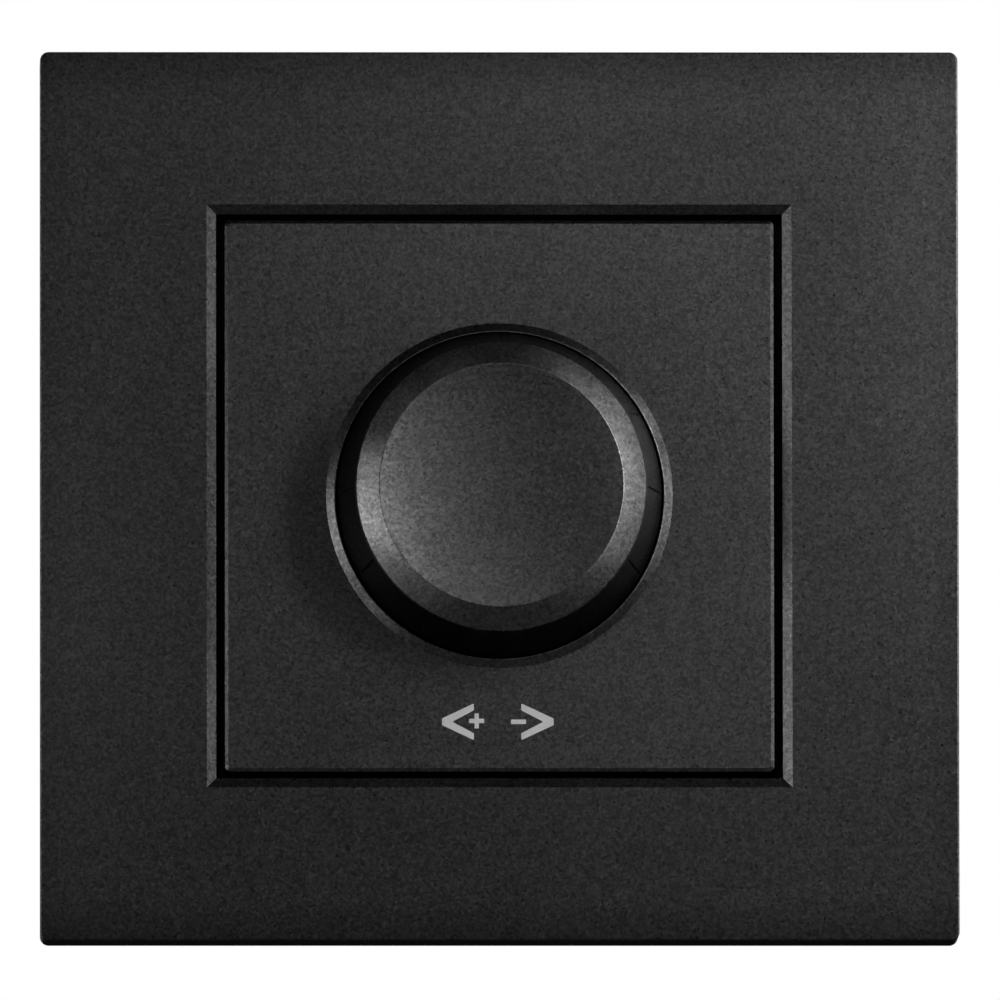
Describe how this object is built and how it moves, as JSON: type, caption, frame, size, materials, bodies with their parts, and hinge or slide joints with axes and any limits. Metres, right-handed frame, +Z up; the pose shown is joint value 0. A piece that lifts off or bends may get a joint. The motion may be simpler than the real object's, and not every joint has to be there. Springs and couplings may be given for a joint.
{
  "type": "wall dimmer",
  "caption": "Flush wall dimmer with a square frame, a square cover plate and a push-and-turn knob in a raised collar, on a steel strap with spreading claws and a screw-terminal housing.",
  "frame": {"origin": "middle of the wall-box screw pattern, on the wall surface (rear face of the mounting strap and of the frame's rim)", "axes": "+Z up, +X to the right as seen from the room, +Y into the wall; the front faces -Y"},
  "size_m": [0.084, 0.0448, 0.0816],
  "materials": {
    "anthracite": "satin dark grey lacquer with fine metallic flake",
    "housing_plastic": "moulded light grey, finely sparked",
    "zinc_steel": "zinc-plated pressed steel",
    "spring_steel": "hardened spring steel",
    "turned_brass": "turned",
    "nickel_brass": "nickel plated",
    "tinned_copper": "tinned",
    "black_moulding": "moulded black",
    "board_laminate": "paper laminate with green solder mask",
    "capacitor_case": "moulded yellow",
    "ferrite": "sintered and lacquered",
    "enamelled_wire": "enamelled copper",
    "insulating_pad": "silicone sheet",
    "fuse_glass": "clear tube",
    "track_laminate": "phenolic with carbon track",
    "resistor_body": "lacquered"
  },
  "bodies": {
    "base": {"outer_frame": "anthracite", "cover_plate": "anthracite", "pot_bushing": "nickel_brass", "pot_case": "zinc_steel", "resistive_track": "track_laminate", "pot_tags": "tinned_copper", "lock_washer": "zinc_steel", "lock_nut": "nickel_brass", "cover_nut": "black_moulding", "mounting_strap": "zinc_steel", "claw_pins": "zinc_steel", "claw_screws": "zinc_steel", "claw_nuts": "zinc_steel", "rear_housing": "housing_plastic", "housing_screws": "zinc_steel", "switch_case": "black_moulding", "switch_contacts": "turned_brass", "switch_spring": "spring_steel", "circuit_board": "board_laminate", "mains_capacitor": "capacitor_case", "choke_core": "ferrite", "choke_winding": "enamelled_wire", "triac_pad": "insulating_pad", "triac_leadframe": "tinned_copper", "triac": "black_moulding", "triac_screw": "zinc_steel", "triac_nut": "zinc_steel", "fuse_tube": "fuse_glass", "fuse_caps": "nickel_brass", "fuse_wire": "tinned_copper", "fuse_clips": "nickel_brass", "resistors": "resistor_body", "film_capacitors": "capacitor_case", "diac": "black_moulding", "terminal_clamps": "turned_brass", "terminal_screws": "nickel_brass"},
    "push_stem": {"switch_plunger": "black_moulding", "switch_bridge": "turned_brass"},
    "knob_unit": {"knob": "anthracite", "hub_spring_ring": "spring_steel", "control_shaft": "black_moulding"},
    "wiper": {"pot_rotor": "black_moulding", "wiper_spring": "spring_steel"},
    "claw_right_body": {"claw_right": "zinc_steel"},
    "claw_left_body": {"claw_left": "zinc_steel"}
  },
  "joints": [
    {"name": "knob_push", "type": "slide", "parent": "base", "child": "push_stem", "axis": [0, 1, 0], "range_m": [0, 0.0015], "stiffness_N_per_m": 1500, "springref_m": -0.001, "deforming": ["switch_spring"]},
    {"name": "knob_turn", "type": "hinge", "parent": "push_stem", "child": "knob_unit", "pos_m": [0, 0, 0], "axis": [0, 1, 0], "range_deg": [-150, 150]},
    {"name": "rotor_turn", "type": "hinge", "parent": "base", "child": "wiper", "pos_m": [0, 0.0047, 0], "axis": [0, 1, 0], "range_deg": [-150, 150]},
    {"name": "claw_right_swing", "type": "hinge", "parent": "base", "child": "claw_right_body", "pos_m": [0.023, 0.0035, -0.009], "axis": [0, 0, -1], "range_deg": [0, 28]},
    {"name": "claw_left_swing", "type": "hinge", "parent": "base", "child": "claw_left_body", "pos_m": [-0.023, 0.0035, 0.009], "axis": [0, 0, 1], "range_deg": [0, 28]}
  ],
  "couplings": [
    {"joint": "rotor_turn", "follows": "knob_turn", "ratio": 1}
  ]
}
